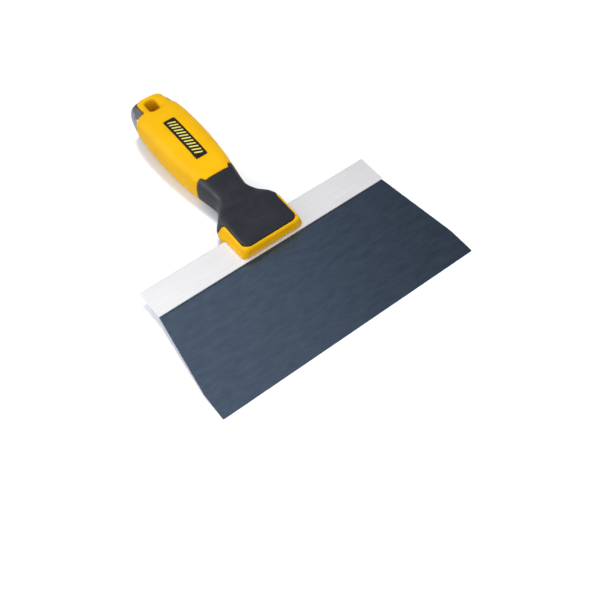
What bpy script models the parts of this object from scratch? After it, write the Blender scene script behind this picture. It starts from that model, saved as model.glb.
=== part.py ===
"""Drywall taping knife: a blue steel blade clamped in a folded aluminium backer, riveted to a
moulded handle with a soft neck grip, a thumb pad and a metal butt cap around a hang hole.

Everything is modelled in the blade's own frame, with X along the working edge, Y from the blade
towards the butt and Z out of the face with the thumb pad. The backer's lower edge is at Y = 0 and
the blade's middle plane is at Z = 0. The empty rest_pose then lays the knife face up on the floor,
where it rests on its working edge and on the belly of the handle. Lengths are in metres.
"""

import math

import bmesh
import bpy
from mathutils import Vector

GAP = 0.0003

# Blade: flat spring steel that flares from the backer to its full width near the working edge.
EDGE_WIDTH = 0.2032
BLADE_REACH = 0.0842
FLARE_REACH = 0.0634
BLADE_THICKNESS = 0.0005
BLADE_INSET = 0.021
EDGE_CORNER_RADIUS = 0.0008

# Backer: one aluminium sheet folded over the top of the blade.
BACKER_WIDTH = 0.1874
BACKER_HEIGHT = 0.0241
BACKER_THICKNESS = 0.0032
BACKER_CORNER_RADIUS = 0.0013
BACKER_TRIM = 0.00005

# Tang: a T-shaped steel plate behind the backer, with its stem running inside the handle.
TANG_THICKNESS = 0.0015
TANG_HEAD_HALF_WIDTH = 0.020
TANG_HEAD_FRONT = 0.0045
TANG_HEAD_REAR = 0.0225
TANG_STEM_HALF_WIDTH = 0.007
TANG_END = 0.142

# Handle outline. Each section has its place along Y, half width, top, bottom, squareness above
# and below its widest line, and the share by which its sides draw in towards the top.
HANDLE_STATIONS = (
    (0.0023, 0.0230, 0.0086, -0.0058, 12.0, 5.0, 0.11),
    (0.0027, 0.0240, 0.0096, -0.0063, 12.0, 5.0, 0.11),
    (0.0034, 0.0249, 0.0105, -0.0069, 12.0, 5.0, 0.11),
    (0.0050, 0.0257, 0.0111, -0.0074, 12.0, 5.0, 0.12),
    (0.0190, 0.0262, 0.0112, -0.0080, 12.0, 4.2, 0.13),
    (0.0270, 0.0270, 0.0112, -0.0084, 11.0, 3.4, 0.15),
    (0.0320, 0.0262, 0.0112, -0.0088, 9.0, 3.4, 0.15),
    (0.0355, 0.0246, 0.0110, -0.0091, 7.0, 3.4, 0.14),
    (0.0395, 0.0214, 0.0107, -0.0095, 5.4, 3.4, 0.12),
    (0.0445, 0.0172, 0.0104, -0.0102, 4.6, 3.3, 0.10),
    (0.0530, 0.0138, 0.0103, -0.0116, 4.2, 3.2, 0.08),
    (0.0670, 0.0155, 0.0115, -0.0146, 3.9, 3.0, 0.06),
    (0.0840, 0.0179, 0.0128, -0.0170, 3.6, 3.0, 0.04),
    (0.1010, 0.0194, 0.0135, -0.0183, 3.4, 3.0, 0.03),
    (0.1180, 0.0200, 0.0133, -0.0184, 3.4, 3.0, 0.03),
    (0.1360, 0.0198, 0.0121, -0.0174, 3.4, 3.0, 0.03),
    (0.1470, 0.0190, 0.0108, -0.0162, 3.4, 3.0, 0.03),
    (0.1570, 0.0174, 0.0095, -0.0147, 3.3, 3.0, 0.03),
    (0.1630, 0.0157, 0.0085, -0.0133, 3.2, 3.0, 0.03),
    (0.1670, 0.0134, 0.0073, -0.0117, 3.0, 2.9, 0.03),
    (0.1693, 0.0098, 0.0048, -0.0092, 2.7, 2.7, 0.03),
)
POINTS_AROUND = 36
RINGS_PER_SPAN = 2
INNER_TRIM = 0.0010

# Soft grip: a sleeve round the neck with a thumb pad reaching forward over the head.
GRIP_THICKNESS = 0.0020
SLEEVE_FRONT = 0.0315
SLEEVE_REAR = 0.0692
FLANK_REAR = 0.0730
FLANK_INNER = 0.0103
PAD_HALF_WIDTH = 0.0216
PAD_FRONT = 0.0044
PAD_REAR = 0.0400
PAD_FLOOR = 0.0030
PAD_CORNER_RADIUS = 0.0045

# Butt cap: a metal horseshoe round the plastic tongue that holds the hang hole. It has this share
# of the handle's depth, so it stands lower than the tongue. Its left arm is broad, and its right
# arm is only a rim.
CAP_FULLNESS = 0.84
CAP_SHOULDER = 0.1513
TONGUE_LEFT = 0.0090
TONGUE_RIGHT = 0.0140
TONGUE_END = 0.1658
TONGUE_CORNER_RADIUS = 0.0040
TENON_LENGTH = 0.010
TENON_INNER = 0.0128
TENON_OUTER = 0.0162
TENON_LOW = -0.0060
TENON_HIGH = 0.0025
HANG_HOLE_CENTRE = 0.1560
HANG_HOLE_HALF_WIDTH = 0.0041
HANG_HOLE_HALF_LENGTH = 0.0057
HANG_HOLE_CORNER_RADIUS = 0.0024
HANG_HOLE_LEAD_IN = 0.0028
HANG_HOLE_LIPS = (0.0091, -0.0143)
LEAD_IN_STEPS = 3

# Badge: a thin label plate let into the top of the belly.
BADGE_CENTRE = 0.110
BADGE_HALF_LENGTH = 0.0223
BADGE_HALF_WIDTH = 0.0048
BADGE_THICKNESS = 0.0008
BADGE_CORNER_RADIUS = 0.0012

# Rivets: through the head, backer, blade and tang, each on a washer at the back.
RIVET_SPACING = 0.0145
RIVET_Y = 0.0135
RIVET_RADIUS = 0.0024
RIVET_HEAD_RADIUS = 0.0044
RIVET_HEAD_BASE = 0.0067
RIVET_HEAD_TOP = 0.0083
RIVET_HEAD_DOME = 0.7
RIVET_TAIL_RADIUS = 0.0036
RIVET_TAIL_DOME = 0.8
RIVET_TAIL_BASE = -0.0069
RIVET_TAIL_TOP = -0.0077
WASHER_RADIUS = 0.0048
WASHER_THICKNESS = 0.0008
WASHER_TOP = -0.0058
ROUND_SEGMENTS = 20

FAR = 0.060
SMOOTH_ANGLE = math.radians(32.0)
FLOOR_SEARCH_STEPS = 200


def clear_scene():
    for obj in list(bpy.data.objects):
        bpy.data.objects.remove(obj, do_unlink=True)


def make_material(name, colour, roughness, metallic):
    material = bpy.data.materials.new(name)
    material.use_nodes = True
    shader = material.node_tree.nodes["Principled BSDF"]
    shader.inputs["Base Color"].default_value = (*colour, 1.0)
    shader.inputs["Roughness"].default_value = roughness
    shader.inputs["Metallic"].default_value = metallic
    material.diffuse_color = (*colour, 1.0)
    return material


def make_object(name, bm, material=None, smooth=True):
    """Turns a bmesh into a linked object, with its faces facing out."""
    bmesh.ops.recalc_face_normals(bm, faces=bm.faces)
    mesh = bpy.data.meshes.new(name)
    bm.to_mesh(mesh)
    bm.free()
    if smooth:
        mesh.shade_smooth()
        mesh.set_sharp_from_angle(angle=SMOOTH_ANGLE)
    obj = bpy.data.objects.new(name, mesh)
    bpy.context.scene.collection.objects.link(obj)
    if material:
        mesh.materials.append(material)
    return obj


def as_cutter(obj):
    obj.hide_render = True
    obj.display_type = "WIRE"
    return obj


def boolean(target, other, operation):
    modifier = target.modifiers.new(f"{operation.lower()}_{other.name}", "BOOLEAN")
    modifier.operation = operation
    modifier.solver = "EXACT"
    modifier.object = other


def bridge_rings(bm, rings):
    """Joins equal closed rings of vertices into one closed skin, with a flat face at each end."""
    for lower, upper in zip(rings, rings[1:]):
        for i in range(len(lower)):
            j = (i + 1) % len(lower)
            bm.faces.new((lower[i], lower[j], upper[j], upper[i]))
    bm.faces.new(rings[0])
    bm.faces.new(rings[-1])


def corner_arc(centre, radius, start, steps=4):
    """Points of a quarter circle in the plan, from the angle start, anticlockwise."""
    angles = [start + math.pi / 2 * i / steps for i in range(steps + 1)]
    return [(centre[0] + radius * math.cos(a), centre[1] + radius * math.sin(a)) for a in angles]


def rounded_rectangle(left, right, low, high, radius):
    """A rectangle in the plan with round corners, as a list of points."""
    corners = (
        ((right - radius, high - radius), 0.0),
        ((left + radius, high - radius), math.pi / 2),
        ((left + radius, low + radius), math.pi),
        ((right - radius, low + radius), 1.5 * math.pi),
    )
    return [point for centre, start in corners for point in corner_arc(centre, radius, start)]


def prism(name, outline, low, high, material=None):
    """An outline in the plan, drawn out from Z = low to Z = high."""
    bm = bmesh.new()
    rings = [[bm.verts.new((x, y, z)) for x, y in outline] for z in (low, high)]
    bridge_rings(bm, rings)
    return make_object(name, bm, material, smooth=False)


def box(name, low, high):
    outline = ((low[0], low[1]), (high[0], low[1]), (high[0], high[1]), (low[0], high[1]))
    return prism(name, outline, low[2], high[2])


def turned(name, profile, material=None):
    """Turns a closed profile of (radius, height) points round the Z axis."""
    bm = bmesh.new()
    rings = []
    for step in range(ROUND_SEGMENTS):
        angle = 2 * math.pi * step / ROUND_SEGMENTS
        direction = (math.cos(angle), math.sin(angle))
        rings.append([bm.verts.new((r * direction[0], r * direction[1], z)) for r, z in profile])
    for ring, following in zip(rings, rings[1:] + rings[:1]):
        for i in range(len(profile)):
            j = (i + 1) % len(profile)
            bm.faces.new((ring[i], ring[j], following[j], following[i]))
    bmesh.ops.remove_doubles(bm, verts=bm.verts, dist=1e-6)
    along_axis = [edge for edge in bm.edges if edge.is_wire]
    bmesh.ops.delete(bm, geom=along_axis, context="EDGES")
    return make_object(name, bm, material)


def section_values(y):
    """Section of the handle at y, from the stations by monotone cubic interpolation."""
    stations = HANDLE_STATIONS
    span = 0
    while span < len(stations) - 2 and y > stations[span + 1][0]:
        span += 1
    start, end = stations[span], stations[span + 1]
    width = end[0] - start[0]
    t = (y - start[0]) / width

    def slope(index, column):
        if index in (0, len(stations) - 1):
            return 0.0
        before, here, after = stations[index - 1], stations[index], stations[index + 1]
        rise_in = (here[column] - before[column]) / (here[0] - before[0])
        rise_out = (after[column] - here[column]) / (after[0] - here[0])
        if rise_in * rise_out <= 0:
            return 0.0
        return 2 * rise_in * rise_out / (rise_in + rise_out)

    values = []
    for column in range(1, len(start)):
        a, b = start[column], end[column]
        slope_a, slope_b = slope(span, column) * width, slope(span + 1, column) * width
        values.append(
            a * (2 * t**3 - 3 * t**2 + 1)
            + slope_a * (t**3 - 2 * t**2 + t)
            + b * (3 * t**2 - 2 * t**3)
            + slope_b * (t**3 - t**2)
        )
    return values


def handle_section(y, inset, fullness):
    """Points of one section: a superellipse with draft above the moulding's parting line."""
    half_width, top, bottom, square_above, square_below, draft = section_values(y)
    half_width -= inset
    half_height = fullness * (top - bottom) / 2 - inset
    centre = (top + bottom) / 2
    points = []
    for step in range(POINTS_AROUND):
        angle = 2 * math.pi * step / POINTS_AROUND
        squareness = square_above if angle <= math.pi else square_below
        across = math.copysign(abs(math.cos(angle)) ** (2 / squareness), math.cos(angle))
        upward = math.copysign(abs(math.sin(angle)) ** (2 / squareness), math.sin(angle))
        x = half_width * across * (1 - draft * max(upward, 0.0))
        points.append((x, y, centre + half_height * upward))
    return points


def handle_body(name, inset=0.0, trim=0.0, fullness=1.0, material=None):
    """The whole handle as one skin.

    It is set in by inset all round, cut short by trim at each end, and has this share of the
    handle's depth from face to face.
    """
    front = HANDLE_STATIONS[0][0] + trim
    rear = HANDLE_STATIONS[-1][0] - trim
    places = []
    for start, end in zip(HANDLE_STATIONS, HANDLE_STATIONS[1:]):
        for step in range(RINGS_PER_SPAN):
            places.append(start[0] + (end[0] - start[0]) * step / RINGS_PER_SPAN)
    places = [front] + [y for y in places if front < y < rear] + [rear]
    bm = bmesh.new()
    sections = [handle_section(y, inset, fullness) for y in places]
    bridge_rings(bm, [[bm.verts.new(point) for point in section] for section in sections])
    return make_object(name, bm, material)


def grip_zone(name, gap):
    """The space of the soft grip: a slab across the neck, two flank lobes and the pad ahead."""
    rear, flank, inner = SLEEVE_REAR + gap, FLANK_REAR + gap, FLANK_INNER - gap
    front = SLEEVE_FRONT - gap
    half = ((FAR, front), (FAR, flank), (inner, flank), (inner, rear))
    outline = half + tuple((-x, y) for x, y in reversed(half))
    sleeve = prism(name, outline, -FAR, FAR)
    outline = rounded_rectangle(
        -PAD_HALF_WIDTH - gap, PAD_HALF_WIDTH + gap, PAD_FRONT - gap, PAD_REAR, PAD_CORNER_RADIUS
    )
    pad = as_cutter(prism(f"{name}_pad", outline, PAD_FLOOR, FAR / 2))
    boolean(sleeve, pad, "UNION")
    return as_cutter(sleeve)


def cap_zone(name, gap):
    """The space of the butt cap: all behind the shoulder, apart from the tongue, and two tenons."""
    zone = box(name, (-FAR, CAP_SHOULDER - gap, -FAR), (FAR, HANDLE_STATIONS[-1][0] + FAR, FAR))
    clearance = GAP - gap
    outline = rounded_rectangle(
        -TONGUE_LEFT - clearance,
        TONGUE_RIGHT + clearance,
        CAP_SHOULDER - FAR,
        TONGUE_END + clearance,
        TONGUE_CORNER_RADIUS,
    )
    tongue = as_cutter(prism(f"{name}_tongue", outline, -FAR * 1.5, FAR * 1.5))
    boolean(zone, tongue, "DIFFERENCE")
    for side in (-1, 1):
        inner, outer = sorted((side * (TENON_INNER - gap), side * (TENON_OUTER + gap)))
        tenon = box(
            f"{name}_tenon_{'left' if side < 0 else 'right'}",
            (inner, CAP_SHOULDER - TENON_LENGTH - gap, TENON_LOW - gap),
            (outer, CAP_SHOULDER + TENON_LENGTH / 2, TENON_HIGH + gap),
        )
        boolean(zone, as_cutter(tenon), "UNION")
    return as_cutter(zone)


def hang_hole_cutter():
    """A rounded slot through the tongue, with a flared lead-in at both faces."""
    top_lip, bottom_lip = HANG_HOLE_LIPS
    levels = [(bottom_lip - FAR / 4, HANG_HOLE_LEAD_IN)]
    for lip, inward in ((bottom_lip, 1), (top_lip, -1)):
        for step in range(LEAD_IN_STEPS + 1)[::inward]:
            angle = math.pi / 2 * step / LEAD_IN_STEPS
            flare = HANG_HOLE_LEAD_IN * (1 - math.sin(angle))
            depth = HANG_HOLE_LEAD_IN * (1 - math.cos(angle))
            levels.append((lip + inward * depth, flare))
    levels.append((top_lip + FAR / 4, HANG_HOLE_LEAD_IN))
    bm = bmesh.new()
    rings = []
    for z, flare in levels:
        outline = rounded_rectangle(
            -HANG_HOLE_HALF_WIDTH - flare,
            HANG_HOLE_HALF_WIDTH + flare,
            HANG_HOLE_CENTRE - HANG_HOLE_HALF_LENGTH - flare,
            HANG_HOLE_CENTRE + HANG_HOLE_HALF_LENGTH + flare,
            HANG_HOLE_CORNER_RADIUS + flare,
        )
        rings.append([bm.verts.new((x, y, z)) for x, y in outline])
    bridge_rings(bm, rings)
    return as_cutter(make_object("hang_hole_cutter", bm, smooth=False))


def rivet_places():
    return (("left", -RIVET_SPACING), ("centre", 0.0), ("right", RIVET_SPACING))


def cut_rivet_holes(target, name, profile):
    """Clears the three rivets through a plate or moulding, with a turned cutter of this profile."""
    for side, x in rivet_places():
        hole = as_cutter(turned(f"{name}_hole_{side}", profile))
        hole.location = (x, RIVET_Y, 0.0)
        boolean(target, hole, "DIFFERENCE")


def shank_clearance():
    radius = RIVET_RADIUS + GAP
    return ((0.0, FAR / 2), (0.0, -FAR / 2), (radius, -FAR / 2), (radius, FAR / 2))


def seat_clearance():
    """The shank's clearance, opened out for the head under the pad and the washer at the back."""
    shank, head, washer = (r + GAP for r in (RIVET_RADIUS, RIVET_HEAD_RADIUS, WASHER_RADIUS))
    return (
        (0.0, FAR / 2),
        (0.0, -FAR / 2),
        (washer, -FAR / 2),
        (washer, WASHER_TOP + GAP),
        (shank, WASHER_TOP + GAP),
        (shank, RIVET_HEAD_BASE - GAP),
        (head, RIVET_HEAD_BASE - GAP),
        (head, FAR / 2),
    )


def make_blade(material):
    half_edge = EDGE_WIDTH / 2
    half_backer = BACKER_WIDTH / 2
    radius = EDGE_CORNER_RADIUS
    lower_left = corner_arc((-half_edge + radius, -BLADE_REACH + radius), radius, math.pi, 3)
    lower_right = corner_arc((half_edge - radius, -BLADE_REACH + radius), radius, 1.5 * math.pi, 3)
    sides = (
        (half_edge, -FLARE_REACH),
        (half_backer, 0.0),
        (half_backer - GAP, BLADE_INSET),
        (-half_backer + GAP, BLADE_INSET),
        (-half_backer, 0.0),
        (-half_edge, -FLARE_REACH),
    )
    outline = lower_left + lower_right + list(sides)
    blade = prism("blade", outline, -BLADE_THICKNESS / 2, BLADE_THICKNESS / 2, material)
    cut_rivet_holes(blade, "blade", shank_clearance())
    return blade


def make_backer(material):
    """The folded sheet: a U in section, open at Y = 0, with its fold at the top of the backer."""
    outer = BACKER_THICKNESS / 2
    inner = BLADE_THICKNESS / 2 + GAP
    sheet = outer - inner
    fold = BACKER_HEIGHT - outer
    section = [(0.0, -outer)]
    section += corner_arc((fold, 0.0), outer, -math.pi / 2)
    section += corner_arc((fold, 0.0), outer, 0.0)[1:]
    section += [(0.0, outer), (0.0, inner), (BACKER_HEIGHT - sheet, inner)]
    section += [(BACKER_HEIGHT - sheet, -inner), (0.0, -inner)]
    bm = bmesh.new()
    rings = [[bm.verts.new((x, y, z)) for y, z in section] for x in (-FAR * 2, FAR * 2)]
    bridge_rings(bm, rings)
    backer = make_object("backer_channel", bm, material)
    half = BACKER_WIDTH / 2
    top = BACKER_HEIGHT + BACKER_CORNER_RADIUS
    outline = rounded_rectangle(-half, half, BACKER_TRIM, top, BACKER_CORNER_RADIUS)
    trimming = prism("backer_outline", outline, -2 * BACKER_THICKNESS, 2 * BACKER_THICKNESS)
    boolean(backer, as_cutter(trimming), "INTERSECT")
    cut_rivet_holes(backer, "backer", shank_clearance())
    return backer


def tang_outline(gap):
    """T-shaped outline, its head at the front and its stem running back."""
    head, stem = TANG_HEAD_HALF_WIDTH + gap, TANG_STEM_HALF_WIDTH + gap
    front, rear, end = TANG_HEAD_FRONT - gap, TANG_HEAD_REAR + gap, TANG_END + gap
    right = ((head, front), (head, rear), (stem, rear), (stem, end))
    return right + tuple((-x, y) for x, y in reversed(right))


def make_tang(material):
    top = -BACKER_THICKNESS / 2 - GAP
    tang = prism("tang_plate", tang_outline(0.0), top - TANG_THICKNESS, top, material)
    cut_rivet_holes(tang, "tang", shank_clearance())
    return tang


def cut_head_slot(core):
    """Opens the head for the backer and, behind it, for the tang."""
    half = BACKER_THICKNESS / 2 + GAP
    slot = box("backer_slot", (-FAR, -FAR, -half), (FAR, BACKER_HEIGHT + GAP, half))
    boolean(core, as_cutter(slot), "DIFFERENCE")
    tang_floor = -BACKER_THICKNESS / 2 - TANG_THICKNESS - 2 * GAP
    pocket = prism("tang_pocket", tang_outline(GAP), tang_floor, -half + BLADE_THICKNESS)
    boolean(core, as_cutter(pocket), "DIFFERENCE")


def badge_zone(name, gap):
    outline = rounded_rectangle(
        -BADGE_HALF_WIDTH - gap,
        BADGE_HALF_WIDTH + gap,
        BADGE_CENTRE - BADGE_HALF_LENGTH - gap,
        BADGE_CENTRE + BADGE_HALF_LENGTH + gap,
        BADGE_CORNER_RADIUS,
    )
    return as_cutter(prism(name, outline, 0.0, FAR / 2))


def make_handle_core(material):
    core = handle_body("handle_core", material=material)
    boolean(core, grip_zone("grip_space", GAP), "DIFFERENCE")
    inner = handle_body("core_under_grip", GRIP_THICKNESS + GAP, INNER_TRIM)
    boolean(core, as_cutter(inner), "UNION")
    boolean(core, cap_zone("cap_space", GAP), "DIFFERENCE")
    cut_head_slot(core)
    cut_rivet_holes(core, "core", seat_clearance())
    badge_space = badge_zone("badge_space", GAP)
    badge_floor = handle_body("badge_floor", BADGE_THICKNESS + GAP, INNER_TRIM)
    boolean(badge_space, as_cutter(badge_floor), "DIFFERENCE")
    boolean(core, badge_space, "DIFFERENCE")
    boolean(core, hang_hole_cutter(), "DIFFERENCE")
    return core


def make_soft_grip(material):
    grip = handle_body("soft_grip", material=material)
    boolean(grip, grip_zone("grip_outline", 0.0), "INTERSECT")
    hollow = handle_body("grip_hollow", GRIP_THICKNESS, INNER_TRIM / 2)
    boolean(grip, as_cutter(hollow), "DIFFERENCE")
    return grip


def make_end_cap(material):
    cap = handle_body("end_cap", fullness=CAP_FULLNESS, material=material)
    boolean(cap, cap_zone("cap_outline", 0.0), "INTERSECT")
    return cap


def make_badge(material):
    badge = handle_body("badge_plate", material=material)
    boolean(badge, badge_zone("badge_outline", 0.0), "INTERSECT")
    backing = handle_body("badge_backing", BADGE_THICKNESS, INNER_TRIM)
    boolean(badge, as_cutter(backing), "DIFFERENCE")
    return badge


def make_rivets(rivet_material, washer_material):
    rivet_profile = (
        (0.0, RIVET_HEAD_TOP),
        (0.0, RIVET_TAIL_TOP),
        (RIVET_TAIL_RADIUS * RIVET_TAIL_DOME, RIVET_TAIL_TOP),
        (RIVET_TAIL_RADIUS, RIVET_TAIL_BASE),
        (RIVET_RADIUS, RIVET_TAIL_BASE),
        (RIVET_RADIUS, RIVET_HEAD_BASE),
        (RIVET_HEAD_RADIUS, RIVET_HEAD_BASE),
        (RIVET_HEAD_RADIUS * RIVET_HEAD_DOME, RIVET_HEAD_TOP),
    )
    hole = RIVET_RADIUS + GAP
    washer_profile = (
        (hole, WASHER_TOP),
        (hole, WASHER_TOP - WASHER_THICKNESS),
        (WASHER_RADIUS, WASHER_TOP - WASHER_THICKNESS),
        (WASHER_RADIUS, WASHER_TOP),
    )
    pieces = []
    for side, x in rivet_places():
        rivet = turned(f"rivet_{side}", rivet_profile, rivet_material)
        washer = turned(f"rivet_washer_{side}", washer_profile, washer_material)
        for piece in (rivet, washer):
            piece.location = (x, RIVET_Y, 0.0)
            pieces.append(piece)
    return pieces


def lay_on_floor(parts):
    """Tilts the knife until its working edge and its belly touch the floor, and centres it."""
    heel = Vector((0.0, -BLADE_REACH, -BLADE_THICKNESS / 2))
    front, rear = HANDLE_STATIONS[0][0], HANDLE_STATIONS[-1][0]
    spacing = (rear - front) / FLOOR_SEARCH_STEPS
    places = [front + spacing * step for step in range(FLOOR_SEARCH_STEPS + 1)]
    lowest = [Vector((0.0, y, section_values(y)[2])) for y in places]
    tilt = max(math.atan2(heel.z - point.z, point.y - heel.y) for point in lowest)
    rest_pose = bpy.data.objects.new("rest_pose", None)
    rest_pose.rotation_euler = (tilt, 0.0, 0.0)
    bpy.context.scene.collection.objects.link(rest_pose)
    for obj in bpy.data.objects:
        if obj is not rest_pose:
            obj.parent = rest_pose
    bpy.context.view_layer.update()
    graph = bpy.context.evaluated_depsgraph_get()
    points = []
    for part in parts:
        evaluated = part.evaluated_get(graph)
        points += [evaluated.matrix_world @ v.co for v in evaluated.data.vertices]
    ys = [point.y for point in points]
    rest_pose.location = (0.0, -(min(ys) + max(ys)) / 2, -min(point.z for point in points))


def main():
    clear_scene()
    blue_steel = make_material("blue_steel", (0.070, 0.102, 0.150), 0.38, 1.0)
    aluminium = make_material("brushed_aluminium", (0.83, 0.83, 0.85), 0.40, 1.0)
    yellow = make_material("yellow_plastic", (0.760, 0.415, 0.005), 0.48, 0.0)
    black = make_material("black_soft_grip", (0.016, 0.018, 0.023), 0.55, 0.0)
    cast_metal = make_material("grey_cast_metal", (0.200, 0.205, 0.230), 0.35, 1.0)
    plain_steel = make_material("plain_steel", (0.50, 0.50, 0.50), 0.40, 1.0)
    label = make_material("black_label", (0.014, 0.012, 0.007), 0.45, 0.0)
    parts = [
        make_blade(blue_steel),
        make_backer(aluminium),
        make_tang(plain_steel),
        make_handle_core(yellow),
        make_soft_grip(black),
        make_end_cap(cast_metal),
        make_badge(label),
    ]
    parts += make_rivets(plain_steel, plain_steel)
    lay_on_floor(parts)


main()
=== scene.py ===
"""Looks of a drywall taping knife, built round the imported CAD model.

Each visible piece is modelled again at a finer scale in the knife's own frame, as the CAD part is:
X along the working edge, Y from the blade towards the butt, Z out of the face with the thumb pad,
with Y = 0 at the backer's lower edge and Z = 0 in the middle of the blade. rest_pose() gives the
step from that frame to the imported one, where the knife lies face up. Lengths are in metres.
"""

import math

import bmesh
import bpy
import numpy as np
from mathutils import Euler, Matrix, Vector


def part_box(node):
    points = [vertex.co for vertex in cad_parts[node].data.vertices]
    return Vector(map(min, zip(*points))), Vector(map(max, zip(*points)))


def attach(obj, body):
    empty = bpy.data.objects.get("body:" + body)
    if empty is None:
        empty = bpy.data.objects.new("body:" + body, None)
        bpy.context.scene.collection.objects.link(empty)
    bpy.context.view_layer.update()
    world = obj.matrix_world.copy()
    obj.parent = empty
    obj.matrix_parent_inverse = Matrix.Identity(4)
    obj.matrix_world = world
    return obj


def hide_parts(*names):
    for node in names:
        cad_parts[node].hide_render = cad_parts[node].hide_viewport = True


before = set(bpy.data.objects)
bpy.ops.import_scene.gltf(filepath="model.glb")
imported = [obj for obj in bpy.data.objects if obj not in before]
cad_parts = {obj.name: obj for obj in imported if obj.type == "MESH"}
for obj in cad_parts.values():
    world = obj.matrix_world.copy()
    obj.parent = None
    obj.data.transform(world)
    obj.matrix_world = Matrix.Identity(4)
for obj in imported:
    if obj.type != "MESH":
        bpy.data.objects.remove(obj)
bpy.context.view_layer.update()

MM = 0.001

# Shared with the CAD part: the room between pieces, and the blade in its folded backer.
GAP = 0.3 * MM
BLADE_REACH = 84.2 * MM
BLADE_INSET = 21.0 * MM
FLARE_REACH = 63.4 * MM
BLADE_THICKNESS = 0.5 * MM
EDGE_CORNER_RADIUS = 0.8 * MM
BACKER_HEIGHT = 24.1 * MM
BACKER_THICKNESS = 3.2 * MM
BACKER_CORNER_RADIUS = 1.3 * MM
BACKER_TRIM = 0.05 * MM

# Shared with the CAD part: the tang, a T-shaped plate behind the backer.
TANG_THICKNESS = 1.5 * MM
TANG_HEAD_HALF_WIDTH = 20.0 * MM
TANG_HEAD_FRONT = 4.5 * MM
TANG_HEAD_REAR = 22.5 * MM
TANG_STEM_HALF_WIDTH = 7.0 * MM
TANG_END = 142.0 * MM

# Shared with the CAD part: the handle. Each section has its place along Y, half width, top, bottom,
# squareness above and below its widest line, and the share by which its sides draw in at the top.
# A skin inside the handle is shorter than it by INNER_TRIM at each end.
HANDLE_STATIONS = (
    (0.0023, 0.0230, 0.0086, -0.0058, 12.0, 5.0, 0.11),
    (0.0027, 0.0240, 0.0096, -0.0063, 12.0, 5.0, 0.11),
    (0.0034, 0.0249, 0.0105, -0.0069, 12.0, 5.0, 0.11),
    (0.0050, 0.0257, 0.0111, -0.0074, 12.0, 5.0, 0.12),
    (0.0190, 0.0262, 0.0112, -0.0080, 12.0, 4.2, 0.13),
    (0.0270, 0.0270, 0.0112, -0.0084, 11.0, 3.4, 0.15),
    (0.0320, 0.0262, 0.0112, -0.0088, 9.0, 3.4, 0.15),
    (0.0355, 0.0246, 0.0110, -0.0091, 7.0, 3.4, 0.14),
    (0.0395, 0.0214, 0.0107, -0.0095, 5.4, 3.4, 0.12),
    (0.0445, 0.0172, 0.0104, -0.0102, 4.6, 3.3, 0.10),
    (0.0530, 0.0138, 0.0103, -0.0116, 4.2, 3.2, 0.08),
    (0.0670, 0.0155, 0.0115, -0.0146, 3.9, 3.0, 0.06),
    (0.0840, 0.0179, 0.0128, -0.0170, 3.6, 3.0, 0.04),
    (0.1010, 0.0194, 0.0135, -0.0183, 3.4, 3.0, 0.03),
    (0.1180, 0.0200, 0.0133, -0.0184, 3.4, 3.0, 0.03),
    (0.1360, 0.0198, 0.0121, -0.0174, 3.4, 3.0, 0.03),
    (0.1470, 0.0190, 0.0108, -0.0162, 3.4, 3.0, 0.03),
    (0.1570, 0.0174, 0.0095, -0.0147, 3.3, 3.0, 0.03),
    (0.1630, 0.0157, 0.0085, -0.0133, 3.2, 3.0, 0.03),
    (0.1670, 0.0134, 0.0073, -0.0117, 3.0, 2.9, 0.03),
    (0.1693, 0.0098, 0.0048, -0.0092, 2.7, 2.7, 0.03),
)
INNER_TRIM = 1.0 * MM

# Shared with the CAD part: the soft grip.
GRIP_THICKNESS = 2.0 * MM
SLEEVE_REAR = 69.2 * MM
LOBE_REAR = 73.0 * MM
PAD_HALF_WIDTH = 21.6 * MM
PAD_FRONT = 4.4 * MM
PAD_FLOOR = 3.0 * MM
PAD_CORNER = 4.5 * MM

# Shared with the CAD part: the butt cap, the tongue that it goes round, and the hang hole, whose
# two mouths are at the heights HOLE_LIPS.
CAP_FULLNESS = 0.84
CAP_SHOULDER = 151.3 * MM
TONGUE_LEFT = 9.0 * MM
TONGUE_END = 165.8 * MM
TONGUE_CORNER = 4.0 * MM
TENON_LENGTH = 10.0 * MM
TENON_INNER = 12.8 * MM
TENON_OUTER = 16.2 * MM
TENON_LOW = -6.0 * MM
TENON_HIGH = 2.5 * MM
HOLE_CENTRE = 156.0 * MM
HOLE_HALF_WIDTH = 4.1 * MM
HOLE_HALF_LENGTH = 5.7 * MM
HOLE_CORNER = 2.4 * MM
HOLE_FLARE = 2.8 * MM
HOLE_LIPS = (9.1 * MM, -14.3 * MM)

# Shared with the CAD part: the label.
LABEL_CENTRE = 110.0 * MM
LABEL_HALF_LENGTH = 22.3 * MM
LABEL_HALF_WIDTH = 4.8 * MM
LABEL_THICKNESS = 0.8 * MM
LABEL_CORNER = 1.2 * MM

# Shared with the CAD part: the rivets, by their places along X, and their washers.
RIVETS = {"left": -14.5 * MM, "centre": 0.0, "right": 14.5 * MM}
RIVET_Y = 13.5 * MM
RIVET_RADIUS = 2.4 * MM
RIVET_HEAD_RADIUS = 4.4 * MM
RIVET_HEAD_BASE = 6.7 * MM
RIVET_HEAD_TOP = 8.3 * MM
RIVET_TAIL_RADIUS = 3.6 * MM
RIVET_TAIL_BASE = -6.9 * MM
RIVET_TAIL_TOP = -7.7 * MM
WASHER_RADIUS = 4.8 * MM
WASHER_THICKNESS = 0.8 * MM
WASHER_TOP = -5.8 * MM

# Finer shape that only the looks have. The tongue's right edge is 0.8 mm further in than in the CAD
# part, so that the cap shows as a thin rim on that side.
TONGUE_RIGHT = 13.2 * MM
TONGUE_ROUND = 1.3 * MM
BUTT_ROUND = 1.6 * MM
BLADE_EDGE_BREAK = 0.08 * MM

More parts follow.
